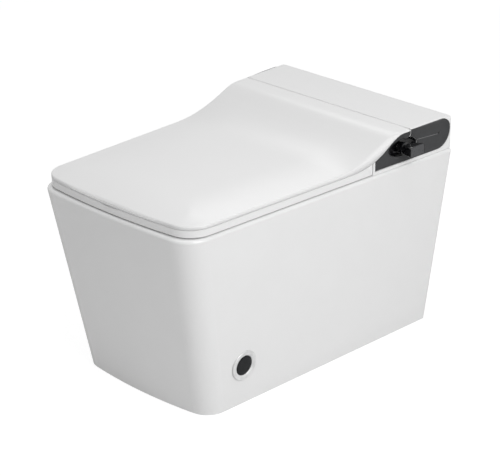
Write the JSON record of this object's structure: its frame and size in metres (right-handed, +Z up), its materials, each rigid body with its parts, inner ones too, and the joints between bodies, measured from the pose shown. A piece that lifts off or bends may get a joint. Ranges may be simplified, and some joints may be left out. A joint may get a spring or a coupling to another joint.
{
  "type": "smart toilet with heated seat",
  "caption": "Floor-standing one-piece toilet with a flat heated seat and lid, washing and drying unit at the rear, side knob and foot sensor.",
  "frame": {"origin": "centre of the waste outlet at floor level", "axes": "+Z up, +Y to the wall behind, +X to the side with the knob"},
  "size_m": [0.479, 0.6998, 0.45],
  "materials": {
    "glazed_ceramic": "glossy white glaze, opaque",
    "white_plastic": "polished white",
    "grey_plastic": "fine matt",
    "tank_plastic": "translucent white, matt",
    "glass_filled_plastic": "fine spark texture",
    "dark_panel": "dark grey, fine matt",
    "gloss_black": "piano black with a trace of fleck",
    "dark_grip": "satin dark grey",
    "dark_lens": "smoked, satin",
    "satin_ring": "satin light grey",
    "stainless_steel": "brushed",
    "damper_plastic": "natural acetal",
    "rubber": "grey",
    "hose_rubber": "milky silicone",
    "heater_foil": "foil",
    "motor_can": "zinc plated",
    "brass": "machined",
    "circuit_board": "green solder mask",
    "supply_case": "pressed, satin"
  },
  "bodies": {
    "base": {"ceramic_body": "glazed_ceramic", "ceramic_bowl": "glazed_ceramic", "outlet_seal": "rubber", "chassis_plate": "glass_filled_plastic", "fixing_bolts": "stainless_steel", "hinge_brackets": "stainless_steel", "hinge_pins": "stainless_steel", "rear_cover": "white_plastic", "side_panel_right": "dark_panel", "side_panel_left": "dark_panel", "nozzle_bay": "grey_plastic", "nozzle_bay_lid": "grey_plastic", "knob_dish": "gloss_black", "knob_encoder": "glass_filled_plastic", "nozzle_guide": "grey_plastic", "wand_motor": "motor_can", "flow_selector": "grey_plastic", "instant_water_heater": "tank_plastic", "air_pump": "motor_can", "dryer_duct": "glass_filled_plastic", "dryer_fan_housing": "glass_filled_plastic", "dryer_motor": "motor_can", "dryer_heater": "stainless_steel", "deodoriser_duct": "glass_filled_plastic", "deodoriser_fan_housing": "glass_filled_plastic", "carbon_cartridge": "glass_filled_plastic", "inlet_fitting": "brass", "inlet_valve": "grey_plastic", "flush_tank": "tank_plastic", "tank_lid": "tank_plastic", "flush_pump_housing": "glass_filled_plastic", "flush_pump_motor": "motor_can", "water_hoses": "hose_rubber", "control_board": "circuit_board", "power_supply": "supply_case", "mains_gland": "glass_filled_plastic", "foot_sensor_ring": "satin_ring", "foot_sensor_lens": "dark_lens", "foot_sensor_housing": "glass_filled_plastic"},
    "seat": {"seat_top_shell": "white_plastic", "seat_bottom_shell": "white_plastic", "seat_heater_foil": "heater_foil", "seat_hinge_arms": "glass_filled_plastic", "seat_bumpers": "rubber"},
    "lid": {"lid_shell": "white_plastic", "lid_inner_panel": "white_plastic", "lid_hinge_caps": "dark_panel", "lid_bumpers": "rubber", "lid_dampers": "damper_plastic"},
    "knob_rotor": {"encoder_rotor": "stainless_steel"},
    "knob": {"knob_shaft": "stainless_steel", "knob_grip": "dark_grip"},
    "wand": {"spray_wand": "stainless_steel", "wand_rack": "damper_plastic", "nozzle_tip": "stainless_steel"},
    "wand_gear": {"wand_pinion": "damper_plastic"},
    "flap": {"dryer_flap": "white_plastic"},
    "flush_wheel": {"flush_impeller": "glass_filled_plastic"},
    "dryer_wheel": {"dryer_impeller": "glass_filled_plastic"},
    "deodoriser_wheel": {"deodoriser_impeller": "glass_filled_plastic"}
  },
  "joints": [
    {"name": "seat_hinge", "type": "hinge", "parent": "base", "child": "seat", "pos_m": [0, 0.178, 0.443], "axis": [-1, 0, 0], "range_deg": [0, 95]},
    {"name": "lid_hinge", "type": "hinge", "parent": "seat", "child": "lid", "pos_m": [0, 0.178, 0.443], "axis": [1, 0, 0], "range_deg": [-100, 0]},
    {"name": "wand_slide", "type": "slide", "parent": "base", "child": "wand", "axis": [0, -0.9511, -0.309], "range_m": [0, 0.11]},
    {"name": "wand_pinion", "type": "hinge", "parent": "base", "child": "wand_gear", "pos_m": [0, 0.00671, 0.32425], "axis": [1, 0, 0], "range_deg": [0, 789]},
    {"name": "knob_turn", "type": "hinge", "parent": "base", "child": "knob_rotor", "pos_m": [0.2, 0.164, 0.418], "axis": [1, 0, 0], "range_deg": [-45, 45], "stiffness_Nm_per_rad": 0.05},
    {"name": "knob_press", "type": "slide", "parent": "knob_rotor", "child": "knob", "axis": [-1, 0, 0], "range_m": [0, 0.0025], "stiffness_N_per_m": 400},
    {"name": "dryer_flap_hinge", "type": "hinge", "parent": "base", "child": "flap", "pos_m": [0, -0.0545, 0.3685], "axis": [-1, 0, 0], "range_deg": [0, 60]},
    {"name": "flush_pump_spin", "type": "hinge", "parent": "base", "child": "flush_wheel", "pos_m": [0, 0.16, 0.17], "axis": [0, 0, 1], "continuous": true},
    {"name": "dryer_fan_spin", "type": "hinge", "parent": "base", "child": "dryer_wheel", "pos_m": [0.054, 0.15, 0.414], "axis": [1, 0, 0], "continuous": true},
    {"name": "deodoriser_fan_spin", "type": "hinge", "parent": "base", "child": "deodoriser_wheel", "pos_m": [-0.054, 0.15, 0.414], "axis": [1, 0, 0], "continuous": true}
  ],
  "couplings": [
    {"joint": "wand_pinion", "follows": "wand_slide", "rad_per_m": 125}
  ]
}
